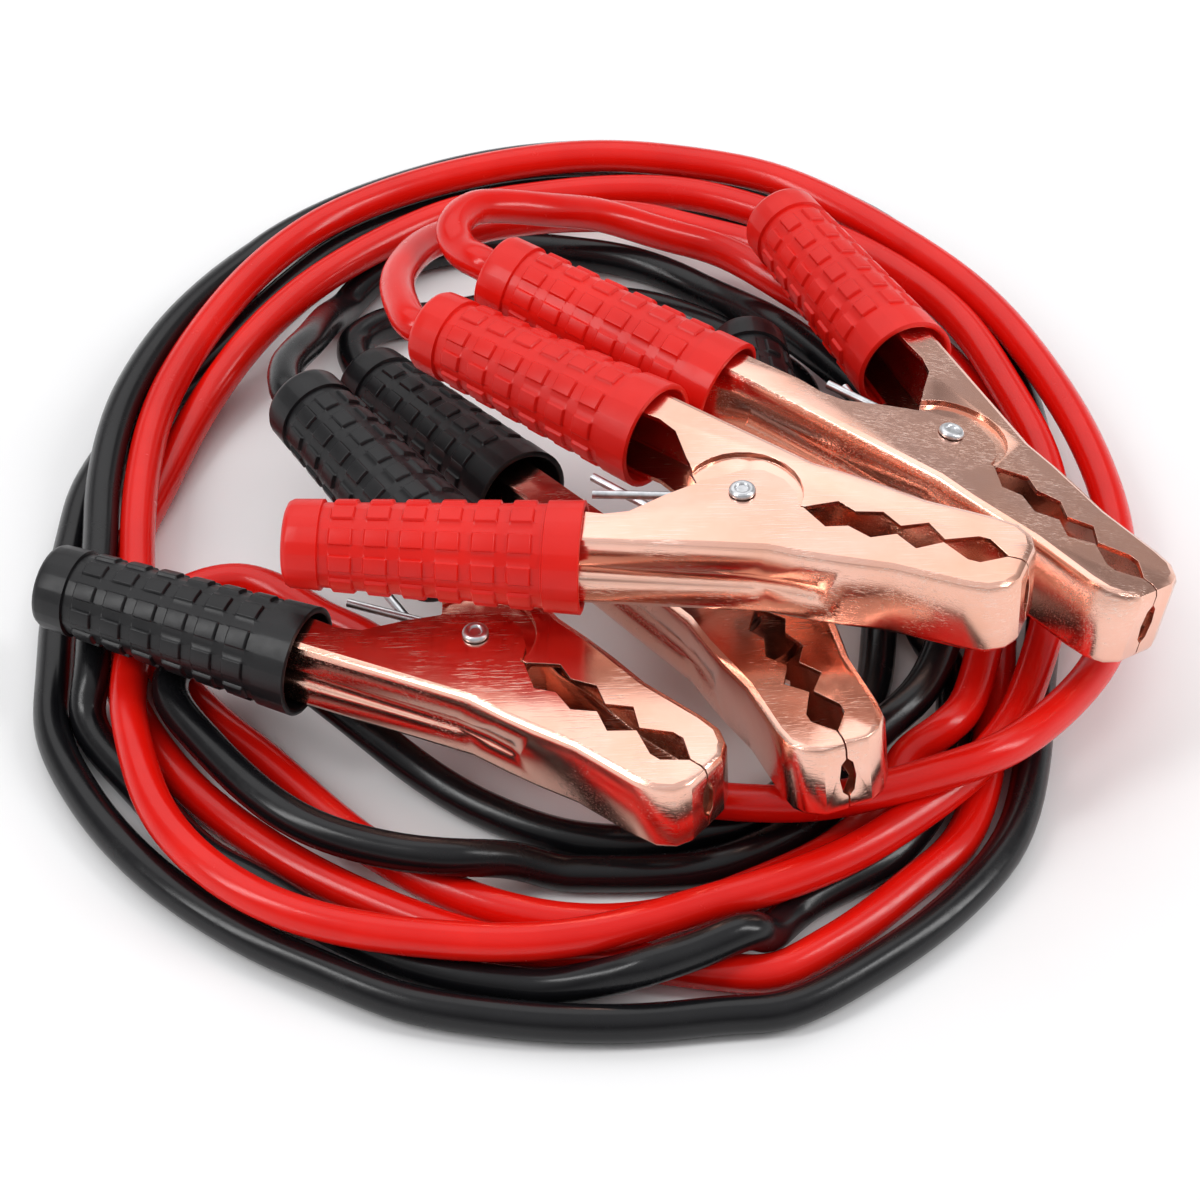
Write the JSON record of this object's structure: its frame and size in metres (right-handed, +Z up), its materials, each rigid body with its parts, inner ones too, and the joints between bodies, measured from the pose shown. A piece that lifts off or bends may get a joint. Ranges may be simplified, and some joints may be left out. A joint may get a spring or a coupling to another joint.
{
  "type": "car jumper cable set",
  "caption": "Coiled jumper cable set with a red lead and a black lead, each ending in copper-plated spring clamps with ribbed rubber grips.",
  "frame": {"origin": "on the floor, under the middle of the four clamps", "axes": "+Z up; -Y towards the front of the pile, the side seen in the picture; +X to the right"},
  "size_m": [0.2567, 0.3052, 0.0686],
  "materials": {
    "copper_plate": "bright copper plate",
    "zinc_steel": "zinc plated",
    "red_rubber": "satin",
    "black_rubber": "satin"
  },
  "bodies": {
    "set": {"cable_red": "red_rubber", "cable_black": "black_rubber", "clamp_a_lower_jaw": "copper_plate", "clamp_a_lower_grip": "red_rubber", "clamp_a_rivet": "zinc_steel", "clamp_a_spring": "zinc_steel", "clamp_b_upper_jaw": "copper_plate", "clamp_b_upper_grip": "red_rubber", "clamp_b_rivet": "zinc_steel", "clamp_b_spring": "zinc_steel", "clamp_c_upper_jaw": "copper_plate", "clamp_c_upper_grip": "black_rubber", "clamp_c_rivet": "zinc_steel", "clamp_c_spring": "zinc_steel", "clamp_d_lower_jaw": "copper_plate", "clamp_d_lower_grip": "black_rubber", "clamp_d_rivet": "zinc_steel", "clamp_d_spring": "zinc_steel"},
    "clamp_a_moving_half": {"clamp_a_upper_jaw": "copper_plate", "clamp_a_upper_grip": "red_rubber"},
    "clamp_b_moving_half": {"clamp_b_lower_jaw": "copper_plate", "clamp_b_lower_grip": "red_rubber"},
    "clamp_c_moving_half": {"clamp_c_lower_jaw": "copper_plate", "clamp_c_lower_grip": "black_rubber"},
    "clamp_d_moving_half": {"clamp_d_upper_jaw": "copper_plate", "clamp_d_upper_grip": "black_rubber"}
  },
  "joints": [
    {"name": "clamp_a_open", "type": "hinge", "parent": "set", "child": "clamp_a_moving_half", "pos_m": [0.0779, -0.0014, 0.0409], "axis": [0.2054, 0.1348, 0.9693], "range_deg": [0, 20], "stiffness_Nm_per_rad": 1, "springref_deg": -20.05, "deforming": ["clamp_a_spring"]},
    {"name": "clamp_b_open", "type": "hinge", "parent": "set", "child": "clamp_b_moving_half", "pos_m": [0.0314, -0.0377, 0.0568], "axis": [0.0221, -0.02, -0.9996], "range_deg": [0, 20], "stiffness_Nm_per_rad": 1, "springref_deg": -20.05, "deforming": ["clamp_b_spring"]},
    {"name": "clamp_c_open", "type": "hinge", "parent": "set", "child": "clamp_c_moving_half", "pos_m": [-0.0263, -0.0545, 0.0306], "axis": [0.0442, 0.0313, -0.9985], "range_deg": [0, 20], "stiffness_Nm_per_rad": 1, "springref_deg": -20.05, "deforming": ["clamp_c_spring"]},
    {"name": "clamp_d_open", "type": "hinge", "parent": "set", "child": "clamp_d_moving_half", "pos_m": [0.0307, -0.0322, 0.0272], "axis": [-0.0889, 0.0895, 0.992], "range_deg": [0, 20], "stiffness_Nm_per_rad": 1, "springref_deg": -20.05, "deforming": ["clamp_d_spring"]}
  ]
}
